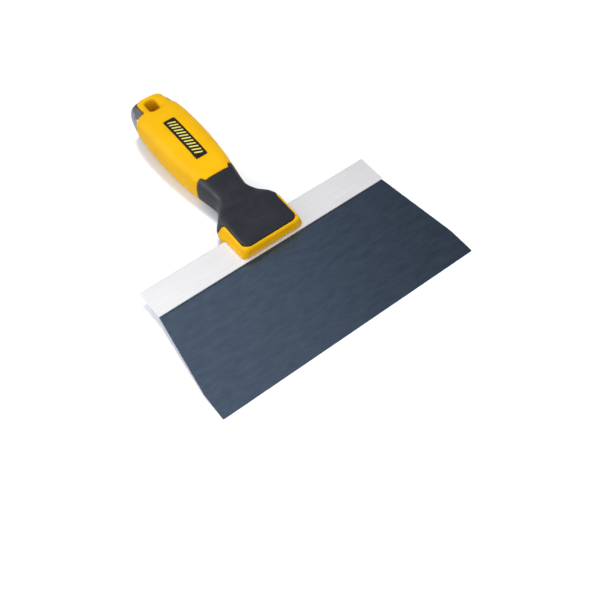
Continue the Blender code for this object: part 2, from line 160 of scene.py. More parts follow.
# The sleeve's front edge is at SLEEVE_FRONT where it is SLEEVE_TOP high, and slants back below that.
SLEEVE_FRONT = 29.8 * MM
SLEEVE_TOP = 11.0 * MM
SLEEVE_SLANT = 0.29
SLEEVE_CORNER = 2.5 * MM
LOBE_INNER = 9.8 * MM
LOBE_OUTER = 11.8 * MM
GRIP_END_TRIM = 0.5 * MM

# The pad is crowned, with a low ridge at its rear and a dip behind the ridge.
PAD_CROWN = 0.35 * MM
RIDGE_Y = 35.0 * MM
RIDGE_HEIGHT = 0.40 * MM
RIDGE_WIDTH = 2.0 * MM
DIP_Y = 42.0 * MM
DIP_DEPTH = 0.55 * MM
DIP_WIDTH = 4.5 * MM

# How far the cap and the label lie below the handle's skin.
SEAM_DEPTH = 0.1 * MM

# Fineness of the meshes. A moulded piece has its voxel size and its number of smoothing passes.
POINTS_AROUND = 112
RING_STEP = 0.9 * MM
TURNED_SEGMENTS = 64
CORE_FINENESS = (0.6 * MM, 4)
GRIP_FINENESS = (0.5 * MM, 5)
CAP_FINENESS = (0.4 * MM, 5)
LABEL_FINENESS = (0.25 * MM, 2)

# A length that takes a cutter past the handle on every side, and a quarter turn.
FAR = 60.0 * MM
QUARTER = math.pi / 2

# The camera, in the knife's frame, with its turns about X, Y and Z in degrees.
CAMERA_PLACE = (-0.1953, -0.2991, 0.4970)
CAMERA_ANGLES = (32.172, 1.026, -37.163)


# The knife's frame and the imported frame.


def rest_pose():
    """The matrix from the knife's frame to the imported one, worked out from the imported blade."""
    low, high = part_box("blade")
    length = BLADE_REACH + BLADE_INSET
    depth, height = high.y - low.y, high.z - low.z
    tilt = math.atan2(
        length * height - BLADE_THICKNESS * depth, length * depth - BLADE_THICKNESS * height
    )
    heel = Vector((0.0, -BLADE_REACH, 0.0))
    turn = Matrix.Rotation(tilt, 4, "X")
    half = BLADE_THICKNESS / 2
    corner_y = (turn @ (heel + Vector((0.0, 0.0, half)))).y
    corner_z = (turn @ (heel - Vector((0.0, 0.0, half)))).z
    return Matrix.Translation((0.0, low.y - corner_y, low.z - corner_z)) @ turn


def packed_width(node):
    low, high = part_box(node)
    return high.x - low.x


REST = rest_pose()
EDGE_WIDTH = packed_width("blade")
BACKER_WIDTH = packed_width("backer_channel")


# Mesh tools.


def make_object(name, bm):
    bmesh.ops.recalc_face_normals(bm, faces=bm.faces)
    mesh = bpy.data.meshes.new(name)
    bm.to_mesh(mesh)
    bm.free()
    obj = bpy.data.objects.new(name, mesh)
    bpy.context.scene.collection.objects.link(obj)
    return obj


def boolean(target, cutter, operation):
    modifier = target.modifiers.new(cutter.name, "BOOLEAN")
    modifier.operation = operation
    modifier.solver = "EXACT"
    modifier.object = cutter


def soften_edges(target, fineness):
    """Remeshes and smooths, which rounds every edge a little, as on a moulding or a casting."""
    voxels = target.modifiers.new("voxels", "REMESH")
    voxels.mode = "VOXEL"
    smooth = target.modifiers.new("smooth", "SMOOTH")
    smooth.factor = 0.5
    voxels.voxel_size, smooth.iterations = fineness
    return settle(target)


def settle(target, cutters=()):
    """Applies the modifiers and removes the cutters."""
    bpy.context.view_layer.update()
    graph = bpy.context.evaluated_depsgraph_get()
    mesh = bpy.data.meshes.new_from_object(target.evaluated_get(graph))
    target.modifiers.clear()
    target.data = mesh
    for cutter in cutters:
        bpy.data.objects.remove(cutter, do_unlink=True)
    return target


def bridge_rings(bm, rings, close_ends=True):
    for lower, upper in zip(rings, rings[1:]):
        for i in range(len(lower)):
            j = (i + 1) % len(lower)
            bm.faces.new((lower[i], lower[j], upper[j], upper[i]))
    if close_ends:
        bm.faces.new(rings[0])
        bm.faces.new(rings[-1])


def arc(centre, radius, start, sweep=QUARTER, steps=8):
    angles = [start + sweep * i / steps for i in range(steps + 1)]
    return [(centre[0] + radius * math.cos(a), centre[1] + radius * math.sin(a)) for a in angles]


def rounded_rectangle(half_width, low, high, radius):
    """Outline in the plan, centred on X = 0, with round corners."""
    across, top, bottom = half_width - radius, high - radius, low + radius
    centres = ((across, top), (-across, top), (-across, bottom), (across, bottom))
    return [p for i, centre in enumerate(centres) for p in arc(centre, radius, i * QUARTER)]


def prism(name, outline, low, high, shear=None):
    """An outline in the plan, drawn out in Z. shear(y, z) gives how far each point moves in Y."""
    bm = bmesh.new()
    rings = []
    for z in (low, high):
        moved = [(x, y + (shear(y, z) if shear else 0.0)) for x, y in outline]
        rings.append([bm.verts.new((x, y, z)) for x, y in moved])
    bridge_rings(bm, rings)
    return make_object(name, bm)


def box(name, low, high):
    outline = ((low[0], low[1]), (high[0], low[1]), (high[0], high[1]), (low[0], high[1]))
    return prism(name, outline, low[2], high[2])


def turned(name, profile, place):
    """Turns a closed profile of (radius, height) points round an axis along Z at this place."""
    bm = bmesh.new()
    rings = []
    for step in range(TURNED_SEGMENTS):
        angle = 2 * math.pi * step / TURNED_SEGMENTS
        across, along = math.cos(angle), math.sin(angle)
        ring = [(place[0] + r * across, place[1] + r * along, z) for r, z in profile]
        rings.append([bm.verts.new(point) for point in ring])
    bridge_rings(bm, rings + rings[:1], close_ends=False)
    same_place = 0.0001 * MM
    bmesh.ops.remove_doubles(bm, verts=bm.verts, dist=same_place)
    wires = [edge for edge in bm.edges if edge.is_wire]
    bmesh.ops.delete(bm, geom=wires, context="EDGES")
    return make_object(name, bm)


def reshape(obj, move):
    """Moves the vertices: move(points, normals) returns the new points, as arrays."""
    mesh = obj.data
    points = np.empty(len(mesh.vertices) * 3)
    mesh.vertices.foreach_get("co", points)
    normals = np.empty(len(mesh.vertices) * 3)
    mesh.vertex_normals.foreach_get("vector", normals)
    moved = move(points.reshape(-1, 3), normals.reshape(-1, 3))
    mesh.vertices.foreach_set("co", moved.ravel())
    mesh.update()


def smoothstep(value, start, end):
    t = np.clip((value - start) / (end - start), 0.0, 1.0)
    return t * t * (3 - 2 * t)


# The handle's skin.


def section_values(y):
    """Section of the handle at y, from the stations by monotone cubic interpolation."""
    stations = HANDLE_STATIONS
    span = 0
    while span < len(stations) - 2 and y > stations[span + 1][0]:
        span += 1
    start, end = stations[span], stations[span + 1]
    width = end[0] - start[0]
    t = (y - start[0]) / width

    def slope(index, column):
        if index in (0, len(stations) - 1):
            return 0.0
        before, here, after = stations[index - 1], stations[index], stations[index + 1]
        rise_in = (here[column] - before[column]) / (here[0] - before[0])
        rise_out = (after[column] - here[column]) / (after[0] - here[0])
        if rise_in * rise_out <= 0:
            return 0.0
        return 2 * rise_in * rise_out / (rise_in + rise_out)

    values = []
    for column in range(1, len(start)):
        a, b = start[column], end[column]
        slope_a, slope_b = slope(span, column) * width, slope(span + 1, column) * width
        values.append(
            a * (2 * t**3 - 3 * t**2 + 1)
            + slope_a * (t**3 - 2 * t**2 + t)
            + b * (3 * t**2 - 2 * t**3)
            + slope_b * (t**3 - t**2)
        )
    return values


def handle_section(y, inset, fullness):
    """Points of one section: a superellipse with draft above the moulding's parting line."""
    half_width, top, bottom, square_above, square_below, draft = section_values(y)
    half_width -= inset
    half_height = fullness * (top - bottom) / 2 - inset
    centre = (top + bottom) / 2
    points = []
    for step in range(POINTS_AROUND):
        angle = 2 * math.pi * step / POINTS_AROUND
        squareness = square_above if angle <= math.pi else square_below
        across = math.copysign(abs(math.cos(angle)) ** (2 / squareness), math.cos(angle))
        upward = math.copysign(abs(math.sin(angle)) ** (2 / squareness), math.sin(angle))
        x = half_width * across * (1 - draft * max(upward, 0.0))
        points.append((x, y, centre + half_height * upward))
    return points


def handle_body(name, inset=0.0, trim=0.0, fullness=1.0):
    """The whole handle as one skin, with a rounded rim at the butt.

    inset draws the sides in, trim shortens both ends, and fullness scales the height.
    """
    front = HANDLE_STATIONS[0][0] + trim
    rear = HANDLE_STATIONS[-1][0] - trim
    count = math.ceil((rear - front) / RING_STEP)
    places = [front + (rear - front) * step / count for step in range(count)]
    rim_steps = 6
    turns = [QUARTER * step / rim_steps for step in range(1, rim_steps + 1)]
    places += [rear - BUTT_ROUND * (1 - math.sin(turn)) for turn in turns]
    bm = bmesh.new()
    rings = []
    for y in sorted(places):
        rim = max(y - rear + BUTT_ROUND, 0.0)
        rounding = BUTT_ROUND - math.sqrt(BUTT_ROUND**2 - min(rim, BUTT_ROUND) ** 2)
        rings.append([bm.verts.new(p) for p in handle_section(y, inset + rounding, fullness)])
    bridge_rings(bm, rings)
    return make_object(name, bm)


def grip_zone(name, gap):
    """The space of the soft grip: the sleeve with its rear lobes, and the pad ahead of it."""
    half = PAD_HALF_WIDTH + gap
    front, middle = SLEEVE_FRONT - gap, (SLEEVE_FRONT + SLEEVE_REAR) / 2
    corner_y = front - SLEEVE_CORNER
    corner = arc((half + SLEEVE_CORNER, corner_y), SLEEVE_CORNER, math.pi, -QUARTER)
    right = [(half - SLEEVE_CORNER, corner_y), *corner, (FAR, front), (FAR, LOBE_REAR + gap)]
    steps = 10
    for step in range(steps + 1):
        t = 1 - step / steps
        rise = float(smoothstep(t, 0.0, 1.0))
        x = LOBE_INNER + (LOBE_OUTER - LOBE_INNER) * t - gap
        right.append((x, SLEEVE_REAR + gap + (LOBE_REAR - SLEEVE_REAR) * rise))
    outline = right + [(-x, y) for x, y in reversed(right)]

    def lean(y, z):
        return SLEEVE_SLANT * (SLEEVE_TOP - z) if y < middle else 0.0

    sleeve = prism(name, outline, -FAR / 2, FAR / 2, lean)
    outline = rounded_rectangle(half, PAD_FRONT - gap, middle, PAD_CORNER + gap)
    pad = prism(f"{name}_pad", outline, PAD_FLOOR, FAR)
    boolean(sleeve, pad, "UNION")
    return settle(sleeve, [pad])


def cap_zone(name, gap):
    """The space of the butt cap: all behind the shoulder, apart from the tongue, and two tenons."""
    zone = box(name, (-FAR, CAP_SHOULDER - gap, -FAR), (FAR, HANDLE_STATIONS[-1][0] + FAR, FAR))
    room = GAP - gap
    half_width = (TONGUE_LEFT + TONGUE_RIGHT) / 2 + room
    middle = (TONGUE_RIGHT - TONGUE_LEFT) / 2
    outline = rounded_rectangle(half_width, CAP_SHOULDER - FAR, TONGUE_END + room, TONGUE_CORNER)
    outline = [(x + middle, y) for x, y in outline]
    cutters = [prism(f"{name}_tongue", outline, -2 * FAR, 2 * FAR)]
    boolean(zone, cutters[0], "DIFFERENCE")
    tenon_root = CAP_SHOULDER + TENON_LENGTH / 2
    for side in (-1, 1):
        near, far = sorted((side * (TENON_INNER - gap), side * (TENON_OUTER + gap)))
        low = (near, CAP_SHOULDER - TENON_LENGTH - gap, TENON_LOW - gap)
        high = (far, tenon_root, TENON_HIGH + gap)
        cutters.append(box(f"{name}_tenon_{side}", low, high))
        boolean(zone, cutters[-1], "UNION")
    return settle(zone, cutters)


def hang_hole():
    """A rounded slot through the tongue, flared at both faces."""
    top, bottom = HOLE_LIPS
    steps = 8
    angles = [QUARTER * i / steps for i in range(steps + 1)]
    flares = [(HOLE_FLARE * (1 - math.cos(a)), HOLE_FLARE * (1 - math.sin(a))) for a in angles]
    levels = [(bottom - FAR / 4, HOLE_FLARE)]
    levels += [(bottom + depth, flare) for depth, flare in flares]
    levels += [(top - depth, flare) for depth, flare in reversed(flares)]
    levels.append((top + FAR / 4, HOLE_FLARE))
    bm = bmesh.new()
    rings = []
    for z, flare in levels:
        reach = HOLE_HALF_LENGTH + flare
        outline = rounded_rectangle(
            HOLE_HALF_WIDTH + flare, HOLE_CENTRE - reach, HOLE_CENTRE + reach, HOLE_CORNER + flare
        )
        rings.append([bm.verts.new((x, y, z)) for x, y in outline])
    bridge_rings(bm, rings)
    return make_object("hang_hole", bm)


def turned_at_rivets(name, profile):
    return [turned(f"{name}_{side}", profile, (x, RIVET_Y)) for side, x in RIVETS.items()]


def shank_holes():
    radius = RIVET_RADIUS + GAP
    return turned_at_rivets("hole", ((0.0, FAR), (0.0, -FAR), (radius, -FAR), (radius, FAR)))


def seat_holes():
    """Stepped holes: a seat for the head under the pad and one for the washer at the back."""
    head, shank, washer = RIVET_HEAD_RADIUS + GAP, RIVET_RADIUS + GAP, WASHER_RADIUS + GAP
    head_seat, washer_seat = RIVET_HEAD_BASE - GAP, WASHER_TOP + GAP
    profile = (
        (0.0, FAR),
        (0.0, -FAR),
        (washer, -FAR),
        (washer, washer_seat),
        (shank, washer_seat),
        (shank, head_seat),
        (head, head_seat),
        (head, FAR),
    )
    return turned_at_rivets("seat", profile)


def tang_pocket():
    """The room round the tang plate, which lies against the back of the backer."""
    top = -BACKER_THICKNESS / 2
    head, stem = TANG_HEAD_HALF_WIDTH + GAP, TANG_STEM_HALF_WIDTH + GAP
    front, rear, end = TANG_HEAD_FRONT - GAP, TANG_HEAD_REAR + GAP, TANG_END + GAP
    right = ((head, front), (head, rear), (stem, rear), (stem, end))
    outline = right + tuple((-x, y) for x, y in reversed(right))
    return prism("tang_pocket", outline, top - TANG_THICKNESS - 2 * GAP, top + 2 * GAP)


def label_zone(name, gap):
    """The space of the label, from the middle of the handle out through its top."""
    reach = LABEL_HALF_LENGTH + gap
    outline = rounded_rectangle(
        LABEL_HALF_WIDTH + gap, LABEL_CENTRE - reach, LABEL_CENTRE + reach, LABEL_CORNER
    )
    return prism(name, outline, 0.0, FAR)


# The pieces.


def round_tongue(points, _normals):
    """Rounds the top edges of the tongue, where it stands above the metal cap."""
    x, y, z = points.T
    beyond = np.maximum(-x - TONGUE_LEFT, x - TONGUE_RIGHT) + TONGUE_ROUND
    turn = np.clip(beyond / TONGUE_ROUND, 0.0, 1.0)
    drop = TONGUE_ROUND * (1 - np.sqrt(1 - turn**2))
    drop *= smoothstep(y, CAP_SHOULDER, CAP_SHOULDER + TONGUE_ROUND)
    full_height = 6.0 * MM
    drop *= smoothstep(z, 0.0, full_height)
    moved = points.copy()
    moved[:, 2] -= drop
    return moved


def build_handle():
    core = handle_body("handle_moulding")
    label_floor = handle_body("label_floor", LABEL_THICKNESS + GAP, INNER_TRIM)
    label_space = label_zone("label_space", GAP)
    boolean(label_space, label_floor, "DIFFERENCE")
    settle(label_space, [label_floor])
    under_grip = handle_body("under_grip", GRIP_THICKNESS + GAP, INNER_TRIM)
    grip_space = grip_zone("grip_space", GAP)
    half = BACKER_THICKNESS / 2 + GAP
    slot = box("backer_slot", (-FAR, -FAR, -half), (FAR, BACKER_HEIGHT + GAP, half))
    cap_space = cap_zone("cap_space", GAP)
    boolean(core, grip_space, "DIFFERENCE")
    boolean(core, under_grip, "UNION")
    cutters = [cap_space, slot, tang_pocket(), label_space, hang_hole()] + seat_holes()
    for cutter in cutters:
        boolean(core, cutter, "DIFFERENCE")
    settle(core, cutters + [grip_space, under_grip])
    soften_edges(core, CORE_FINENESS)
    reshape(core, round_tongue)
    return core


def swell_pad(points, normals):
    """Crowns the pad, with a soft ridge where it turns down into the neck and a dip behind that."""
    x, y, z = points.T
    rim_width = 2.5 * MM
    crown_end, crown_gone = RIDGE_Y - 3.0 * MM, RIDGE_Y + 6.0 * MM
    ridge_end, ridge_gone = 13.0 * MM, 20.0 * MM
    faces_up = smoothstep(normals[:, 2], 0.2, 0.8) * (z > 0)
    side = smoothstep(PAD_HALF_WIDTH - np.abs(x), 0.0, rim_width)
    crown = PAD_CROWN * side * smoothstep(y, PAD_FRONT, PAD_FRONT + rim_width)
    crown *= 1 - smoothstep(y, crown_end, crown_gone)
    across = 1 - smoothstep(np.abs(x), ridge_end, ridge_gone)
    ridge = RIDGE_HEIGHT * across * np.exp(-(((y - RIDGE_Y) / RIDGE_WIDTH) ** 2))
    dip = DIP_DEPTH * across * np.exp(-(((y - DIP_Y) / DIP_WIDTH) ** 2))
    moved = points.copy()
    moved[:, 2] += faces_up * (crown + ridge - dip)
    return moved


def build_grip():
    grip = handle_body("grip_overmould")
    zone = grip_zone("grip_outline", 0.0)
    hollow = handle_body("grip_hollow", GRIP_THICKNESS, GRIP_END_TRIM)
    boolean(grip, zone, "INTERSECT")
    boolean(grip, hollow, "DIFFERENCE")
    settle(grip, [zone, hollow])
    soften_edges(grip, GRIP_FINENESS)
    reshape(grip, swell_pad)
    return grip


def build_cap():
    cap = handle_body("butt_cap", SEAM_DEPTH, fullness=CAP_FULLNESS)
    zone = cap_zone("cap_outline", 0.0)
    boolean(cap, zone, "INTERSECT")
    settle(cap, [zone])
    return soften_edges(cap, CAP_FINENESS)


def build_label():
    label = handle_body("label_plate", SEAM_DEPTH)
    zone = label_zone("label_outline", 0.0)
    backing = handle_body("label_backing", LABEL_THICKNESS, INNER_TRIM)
    boolean(label, zone, "INTERSECT")
    boolean(label, backing, "DIFFERENCE")
    settle(label, [zone, backing])
    return soften_edges(label, LABEL_FINENESS)


def drill(obj, cutters=()):
    """Makes the shank holes, after any cuts that are already set up with these cutters."""
    holes = shank_holes()
    for hole in holes:
        boolean(obj, hole, "DIFFERENCE")
    settle(obj, [*holes, *cutters])


def round_edges(obj, width):
    bevel = obj.modifiers.new("bevel", "BEVEL")
    bevel.width = width
    bevel.segments = 2
    bevel.limit_method = "ANGLE"
    bevel.angle_limit = math.radians(40)
    return settle(obj)


def build_blade():
    half_edge, half_backer, radius = EDGE_WIDTH / 2, BACKER_WIDTH / 2, EDGE_CORNER_RADIUS
    left = arc((-half_edge + radius, -BLADE_REACH + radius), radius, math.pi)
    right = arc((half_edge - radius, -BLADE_REACH + radius), radius, 3 * QUARTER)
    sides = [(half_edge, -FLARE_REACH), (half_backer, 0.0), (half_backer - GAP, BLADE_INSET)]
    outline = left + right + sides + [(-x, y) for x, y in reversed(sides)]
    blade = prism("spring_blade", outline, -BLADE_THICKNESS / 2, BLADE_THICKNESS / 2)
    drill(blade)
    return round_edges(blade, BLADE_EDGE_BREAK)


def build_backer():
    """The folded sheet: a U in section, open towards the working edge, with soft corners."""
    outer = BACKER_THICKNESS / 2
    inner = BLADE_THICKNESS / 2 + GAP
    fold = BACKER_HEIGHT - outer
    section = [(0.0, -outer), *arc((fold, 0.0), outer, -QUARTER, math.pi, 24)]
    section += [(0.0, outer), (0.0, inner), *arc((fold, 0.0), inner, QUARTER, -math.pi, 12)]
    section.append((0.0, -inner))
    bm = bmesh.new()
    rings = [[bm.verts.new((x, y, z)) for y, z in section] for x in (-2 * FAR, 2 * FAR)]
    bridge_rings(bm, rings)
    backer = make_object("folded_backer", bm)
    past_fold = BACKER_HEIGHT + 2.0 * MM
    outline = rounded_rectangle(BACKER_WIDTH / 2, BACKER_TRIM, past_fold, BACKER_CORNER_RADIUS)
    trim = prism("backer_outline", outline, -FAR, FAR)
    boolean(backer, trim, "INTERSECT")
    drill(backer, [trim])
    edge_break = 0.15 * (outer - inner)
    return round_edges(backer, edge_break)


def build_rivet(side):
    """A flanged head under the pad, a shank, and a domed tail upset on the washer."""
    dimple = ((0.0, 0.25 * MM), (1.0 * MM, 0.2 * MM), (1.5 * MM, 0.0), (2.3 * MM, 0.03 * MM))
    tail_round, head_round, flange_edge = 0.7 * MM, 1.2 * MM, 0.2 * MM
    tail_centre = (RIVET_TAIL_RADIUS - tail_round, RIVET_TAIL_TOP + tail_round)
    head_centre = (RIVET_HEAD_RADIUS - head_round, RIVET_HEAD_TOP - head_round)
    profile = [(0.0, RIVET_HEAD_TOP)]
    profile += [(radius, RIVET_TAIL_TOP + rise) for radius, rise in dimple]
    profile += arc(tail_centre, tail_round, -QUARTER, steps=6)
    profile += [
        (RIVET_TAIL_RADIUS, RIVET_TAIL_BASE),
        (RIVET_RADIUS, RIVET_TAIL_BASE),
        (RIVET_RADIUS, RIVET_HEAD_BASE),
        (RIVET_HEAD_RADIUS - flange_edge, RIVET_HEAD_BASE),
        (RIVET_HEAD_RADIUS, RIVET_HEAD_BASE + flange_edge),
    ]
    profile += arc(head_centre, head_round, 0.0, steps=6)
    return turned(f"rivet_{side}_turned", profile, (RIVETS[side], RIVET_Y))


def build_washer(side):
    inner, outer, soft = RIVET_RADIUS + GAP, WASHER_RADIUS, 0.15 * MM
    top, bottom = WASHER_TOP, WASHER_TOP - WASHER_THICKNESS
    profile = [(inner, top), (inner, bottom)]
    profile += arc((outer - soft, bottom + soft), soft, -QUARTER, steps=4)
    profile += arc((outer - soft, top - soft), soft, 0.0, steps=4)
    return turned(f"washer_{side}_turned", profile, (RIVETS[side], RIVET_Y))


# Materials.


def add_node(tree, kind, inputs=(), **settings):
    """Adds a shader node. Each input is a socket to link or a value to set, by name or place."""
    node = tree.nodes.new(kind)
    for key, value in settings.items():
        setattr(node, key, value)
    for key, value in dict(inputs).items():
        if isinstance(value, bpy.types.NodeSocket):
            tree.links.new(value, node.inputs[key])
        else:
            node.inputs[key].default_value = value
    return node


def place_of(tree, stretch=(1.0, 1.0, 1.0)):
    """The point in the knife's frame, scaled along each axis."""
    coordinates = add_node(tree, "ShaderNodeTexCoord").outputs["Object"]
    back = REST.inverted()
    unposed = {"Vector": coordinates, "Location": back.translation, "Rotation": back.to_euler()}
    point = add_node(tree, "ShaderNodeMapping", unposed).outputs["Vector"]
    return add_node(tree, "ShaderNodeMapping", {"Vector": point, "Scale": stretch}).outputs["Vector"]


def noise(tree, scale, detail=3.0, stretch=(1.0, 1.0, 1.0), roughness=0.5):
    """Noise over the piece. scale is in features a metre. A stretch under 1 draws them out."""
    values = {"Vector": place_of(tree, stretch), "Scale": scale, "Detail": detail}
    values["Roughness"] = roughness
    return add_node(tree, "ShaderNodeTexNoise", values).outputs["Fac"]


def cells(tree, scale):
    """Distance from the middle of small irregular cells. scale is in cells a metre."""
    values = {"Vector": place_of(tree), "Scale": scale}
    return add_node(tree, "ShaderNodeTexVoronoi", values).outputs["Distance"]


def math_node(tree, operation, a, b=0.0):
    return add_node(tree, "ShaderNodeMath", {0: a, 1: b}, operation=operation).outputs[0]


def spread(tree, value, source=(0.3, 0.7), target=(0.0, 1.0)):
    """Maps one range to another with a soft start and end. Noise mostly lies in 0.3 to 0.7."""
    inputs = {"Value": value, "From Min": source[0], "From Max": source[1]}
    inputs.update({"To Min": target[0], "To Max": target[1]})
    return add_node(tree, "ShaderNodeMapRange", inputs, interpolation_type="SMOOTHSTEP").outputs[0]


def mix_colour(tree, factor, first, second):
    """Mixes two colours, each a socket or red, green and blue. factor 0 gives the first."""
    factor_socket, first_socket, second_socket, mixed_socket = 0, 6, 7, 2
    inputs = {factor_socket: factor}
    for socket, colour in ((first_socket, first), (second_socket, second)):
        inputs[socket] = (*colour, 1.0) if isinstance(colour, tuple) else colour
    return add_node(tree, "ShaderNodeMix", inputs, data_type="RGBA").outputs[mixed_socket]


def bump(tree, height, distance, strength):
    inputs = {"Height": height, "Distance": distance, "Strength": strength}
    return add_node(tree, "ShaderNodeBump", inputs).outputs["Normal"]


def finish_with(name, build):
    """A Principled material whose nodes are made by build(tree, shader)."""
    material = bpy.data.materials.new(name)
    material.use_nodes = True
    tree = material.node_tree
    build(tree, tree.nodes["Principled BSDF"])
    return material


def connect(tree, shader, colour, roughness, normal):
    tree.links.new(colour, shader.inputs["Base Color"])
    tree.links.new(roughness, shader.inputs["Roughness"])
    tree.links.new(normal, shader.inputs["Normal"])


def blued_steel(tree, shader):
    """Blue spring steel: rolled streaks along the edge, and a faint cloudy temper colour."""
    shader.inputs["Metallic"].default_value = 1.0
    dark, light, rolled = (0.061, 0.090, 0.137), (0.086, 0.120, 0.174), (0.088, 0.116, 0.160)
    streaks = noise(tree, 900.0, 4.0, stretch=(0.06, 1.0, 1.0), roughness=0.65)
    clouds = noise(tree, 230.0, 5.0, stretch=(0.35, 1.0, 1.0), roughness=0.7)
    temper = mix_colour(tree, spread(tree, clouds), dark, light)
    colour = mix_colour(tree, spread(tree, streaks, target=(0.0, 0.55)), temper, rolled)
    roughness = spread(tree, streaks, (0.25, 0.75), (0.26, 0.36))
    height = math_node(tree, "ADD", streaks, math_node(tree, "MULTIPLY", clouds, 0.6))
    connect(tree, shader, colour, roughness, bump(tree, height, 0.012 * MM, 0.3))


def brushed_aluminium(tree, shader):
    """Pale sheet with fine brush lines along the fold, and faint duller patches."""
    shader.inputs["Metallic"].default_value = 0.6
    dark, light, dull = (0.775, 0.775, 0.795), (0.825, 0.825, 0.84), (0.73, 0.73, 0.745)
    lines = noise(tree, 1400.0, 3.0, stretch=(0.03, 1.0, 1.0), roughness=0.6)
    patches = noise(tree, 120.0, 4.0, stretch=(0.5, 1.0, 1.0), roughness=0.6)
    brushed = mix_colour(tree, spread(tree, lines), dark, light)
    colour = mix_colour(tree, spread(tree, patches, (0.45, 0.8), (0.0, 0.25)), brushed, dull)
    roughness = spread(tree, lines, (0.25, 0.75), (0.36, 0.50))
    connect(tree, shader, colour, roughness, bump(tree, lines, 0.015 * MM, 0.3))


def yellow_plastic(tree, shader):
    """Glass-filled nylon: deep yellow, satin, with a fine pebble left by the mould."""
    shader.inputs["Specular IOR Level"].default_value = 0.04
    tint = noise(tree, 60.0)
    grain = noise(tree, 2600.0, 2.0)
    colour = mix_colour(tree, spread(tree, tint), (0.695, 0.372, 0.004), (0.728, 0.398, 0.005))
    roughness = spread(tree, grain, target=(0.44, 0.54))
    connect(tree, shader, colour, roughness, bump(tree, grain, 0.02 * MM, 0.2))


def black_rubber(tree, shader):
    """Soft overmould: a blue-black elastomer with a matt, lightly pitted skin."""
    shader.inputs["Specular IOR Level"].default_value = 0.18
    dark, light = (0.0150, 0.0170, 0.0230), (0.0215, 0.0240, 0.0305)
    pits = cells(tree, 2200.0)
    bloom = noise(tree, 90.0, 4.0, roughness=0.6)
    colour = mix_colour(tree, spread(tree, bloom, (0.35, 0.75)), dark, light)
    roughness = spread(tree, bloom, target=(0.50, 0.60))
    connect(tree, shader, colour, roughness, bump(tree, pits, 0.03 * MM, 0.4))


def cast_metal(tree, shader):
    """Die-cast butt cap: tumbled zinc with a fine grain and soft clouding."""
    shader.inputs["Metallic"].default_value = 1.0
    grain = noise(tree, 1800.0)
    clouds = noise(tree, 220.0, 4.0)
    colour = mix_colour(tree, spread(tree, clouds), (0.17, 0.175, 0.205), (0.23, 0.235, 0.26))
    roughness = spread(tree, clouds, target=(0.28, 0.40))
    connect(tree, shader, colour, roughness, bump(tree, grain, 0.02 * MM, 0.4))


def plain_steel(tree, shader):
    """Zinc-plated steel: pale, with small crystalline patches."""
    shader.inputs["Metallic"].default_value = 1.0
    patches = cells(tree, 700.0)
    scratches = noise(tree, 1500.0, stretch=(1.0, 0.2, 1.0))
    level = spread(tree, patches, (0.1, 0.7))
    colour = mix_colour(tree, level, (0.52, 0.53, 0.55), (0.66, 0.66, 0.68))
    roughness = spread(tree, scratches, target=(0.26, 0.40))
    connect(tree, shader, colour, roughness, bump(tree, scratches, 0.01 * MM, 0.4))


def slanted_bars(tree):
    """1 on a row of plain slanted bars down the middle of the label, and 0 elsewhere."""
    parts = add_node(tree, "ShaderNodeSeparateXYZ", {"Vector": place_of(tree)})
    x, y = parts.outputs["X"], parts.outputs["Y"]
    pitch, bare_share, slant = 3.3 * MM, 0.27, 0.45
    half_height, half_length, soft = 3.1 * MM, 19.4 * MM, 0.12 * MM
    bare = pitch * bare_share
    along = math_node(tree, "ADD", y, math_node(tree, "MULTIPLY", x, slant))
    from_centre = math_node(tree, "SUBTRACT", along, LABEL_CENTRE)
    wave = math_node(tree, "PINGPONG", from_centre, pitch / 2)
    bars = spread(tree, wave, (bare, bare + soft))
    from_side = math_node(tree, "ABSOLUTE", x)
    band = spread(tree, from_side, (half_height - soft, half_height), (1.0, 0.0))
    from_middle = math_node(tree, "ABSOLUTE", math_node(tree, "SUBTRACT", y, LABEL_CENTRE))
    row = spread(tree, from_middle, (half_length - soft, half_length), (1.0, 0.0))
    return math_node(tree, "MULTIPLY", bars, math_node(tree, "MULTIPLY", band, row))


def printed_label(tree, shader):
    """Satin black film with pale bars printed on it."""
    shader.inputs["Specular IOR Level"].default_value = 0.12
    film = noise(tree, 500.0)
    black = mix_colour(tree, spread(tree, film), (0.010, 0.009, 0.005), (0.017, 0.015, 0.008))
    ink = (0.64, 0.56, 0.13)
    colour = mix_colour(tree, slanted_bars(tree), black, ink)
    roughness = spread(tree, film, target=(0.38, 0.48))
    connect(tree, shader, colour, roughness, bump(tree, film, 0.01 * MM, 0.3))


def pale_floor(tree, shader):
    """Matt, and a little cool, with hardly any variation."""
    shader.inputs["Specular IOR Level"].default_value = 0.0
    shader.inputs["Roughness"].default_value = 0.9
    tone = noise(tree, 6.0, 2.0)
    colour = mix_colour(tree, tone, (0.86, 0.885, 0.93), (0.88, 0.905, 0.95))
    tree.links.new(colour, shader.inputs["Base Color"])


# The stage.


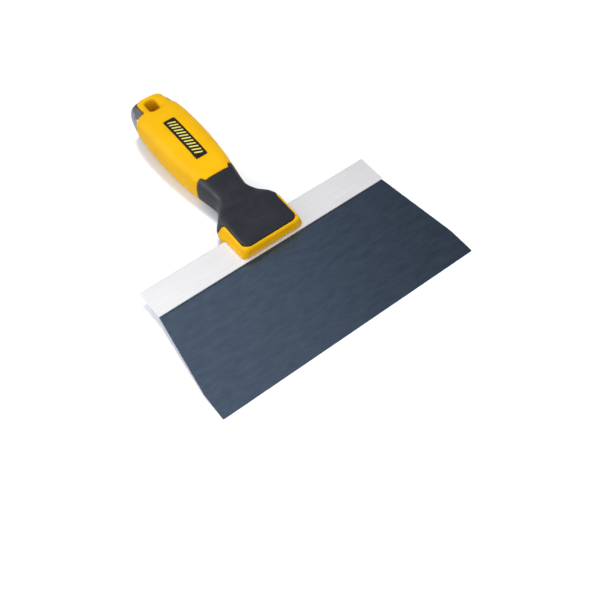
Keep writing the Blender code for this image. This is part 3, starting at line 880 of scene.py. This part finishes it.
def light_the_world():
    """A studio surround: pale at the horizon, dimmer higher up and behind, with a broad glow.

    The glow is at upper left, and stops short of the horizon.
    """
    world = bpy.data.worlds.new("studio")
    bpy.context.scene.world = world
    world.use_nodes = True
    tree = world.node_tree
    direction = add_node(tree, "ShaderNodeTexCoord").outputs["Generated"]
    parts = add_node(tree, "ShaderNodeSeparateXYZ", {"Vector": direction})
    height, depth = parts.outputs["Z"], parts.outputs["Y"]
    horizon, overhead, behind = 0.72, 0.25, 0.6
    base = spread(tree, height, (0.0, 0.55), (horizon, overhead))
    base = math_node(tree, "MULTIPLY", base, spread(tree, depth, (0.3, 0.9), (1.0, behind)))
    glow_centre = Vector((-0.55, 0.35, 0.76)).normalized()
    glow_strength, glow_edge, glow_core = 0.78, 0.51, 0.65
    nearness = add_node(
        tree, "ShaderNodeVectorMath", {0: direction, 1: glow_centre}, operation="DOT_PRODUCT"
    ).outputs["Value"]
    glow = spread(tree, nearness, (glow_edge, glow_core), (0.0, glow_strength))
    glow = math_node(tree, "MULTIPLY", glow, spread(tree, height))
    level = math_node(tree, "ADD", base, glow)
    background = tree.nodes["Background"]
    background.inputs["Color"].default_value = (1.0, 1.0, 1.0, 1.0)
    tree.links.new(level, background.inputs["Strength"])


def add_light(name, light, direction, distance):
    """Places a light in this direction from the knife, shining back at it."""
    lamp = bpy.data.objects.new(name, light)
    towards = Vector(direction).normalized()
    lamp.location = towards * distance
    lamp.rotation_euler = towards.to_track_quat("Z", "Y").to_euler()
    bpy.context.scene.collection.objects.link(lamp)
    return lamp


def add_sun():
    """The key light, high and slightly to the right, so that shadows fall close, to the left."""
    light = bpy.data.lights.new("key", "SUN")
    light.energy = 1.8
    light.angle = math.radians(12.0)
    key = add_light("key", light, (0.16, 0.10, 0.98), distance=0.0)
    key.visible_glossy = False


def add_softbox(name, direction, distance, size, power, diffuse=True, glossy=True):
    """A square panel of light that looks at the knife from this direction.

    Without diffuse it only makes highlights, and without glossy it makes none.
    """
    light = bpy.data.lights.new(name, "AREA")
    light.energy = power
    light.size = size
    panel = add_light(name, light, direction, distance)
    panel.visible_diffuse = diffuse
    panel.visible_glossy = glossy


def light_the_knife():
    add_sun()
    add_softbox(
        "left_softbox", (-0.73, 0.50, 0.45), distance=0.9, size=0.30, power=11.0, diffuse=False
    )
    add_softbox("left_fill", (-0.90, -0.15, 0.35), distance=1.2, size=0.6, power=2.0, glossy=False)
    add_softbox("front_fill", (-0.35, -0.85, 0.55), distance=1.2, size=0.6, power=5.6)


def add_camera():
    data = bpy.data.cameras.new("camera")
    data.sensor_width = 36.0
    data.lens = 54.0
    data.clip_start = 0.01
    camera = bpy.data.objects.new("camera", data)
    turn = Euler([math.radians(angle) for angle in CAMERA_ANGLES])
    camera.matrix_world = REST @ Matrix.LocRotScale(Vector(CAMERA_PLACE), turn, None)
    bpy.context.scene.collection.objects.link(camera)
    bpy.context.scene.camera = camera


def add_floor():
    """A wide floor, so that its edge stays far behind the knife in low views."""
    reach = 12.0
    bm = bmesh.new()
    bmesh.ops.create_grid(bm, x_segments=8, y_segments=8, size=reach)
    floor = make_object("floor", bm)
    floor.data.materials.append(finish_with("floor", pale_floor))


def place(obj, material, slot, node, flat_angle=None):
    """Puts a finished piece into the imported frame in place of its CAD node.

    Edges stay crisp where the faces turn by more than flat_angle.
    """
    obj.data.materials.clear()
    obj.data.materials.append(material)
    obj.data.shade_smooth()
    if flat_angle:
        obj.data.set_sharp_from_angle(angle=flat_angle)
    obj.data.transform(REST)
    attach(obj, "root")
    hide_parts(node)


def main():
    steel = finish_with("blued_steel", blued_steel)
    aluminium = finish_with("brushed_aluminium", brushed_aluminium)
    yellow = finish_with("yellow_plastic", yellow_plastic)
    black = finish_with("black_rubber", black_rubber)
    zinc = finish_with("cast_metal", cast_metal)
    plated = finish_with("plain_steel", plain_steel)
    label = finish_with("label", printed_label)
    crisp, flat = math.radians(35.0), math.radians(12.0)
    place(build_blade(), steel, "blued_steel", "blade", flat)
    place(build_backer(), aluminium, "brushed_aluminium", "backer_channel", flat)
    place(build_handle(), yellow, "yellow_plastic", "handle_core")
    place(build_grip(), black, "black_rubber", "soft_grip")
    place(build_cap(), zinc, "cast_metal", "end_cap")
    place(build_label(), label, "label", "badge_plate")
    for side in RIVETS:
        place(build_rivet(side), plated, "plain_steel", f"rivet_{side}", crisp)
        place(build_washer(side), plated, "plain_steel", f"rivet_washer_{side}", crisp)
    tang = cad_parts["tang_plate"]
    for material_slot in tang.material_slots:
        material_slot.material = plated
    light_the_world()
    light_the_knife()
    add_floor()
    add_camera()
    bpy.context.scene.view_settings.view_transform = "Standard"


main()
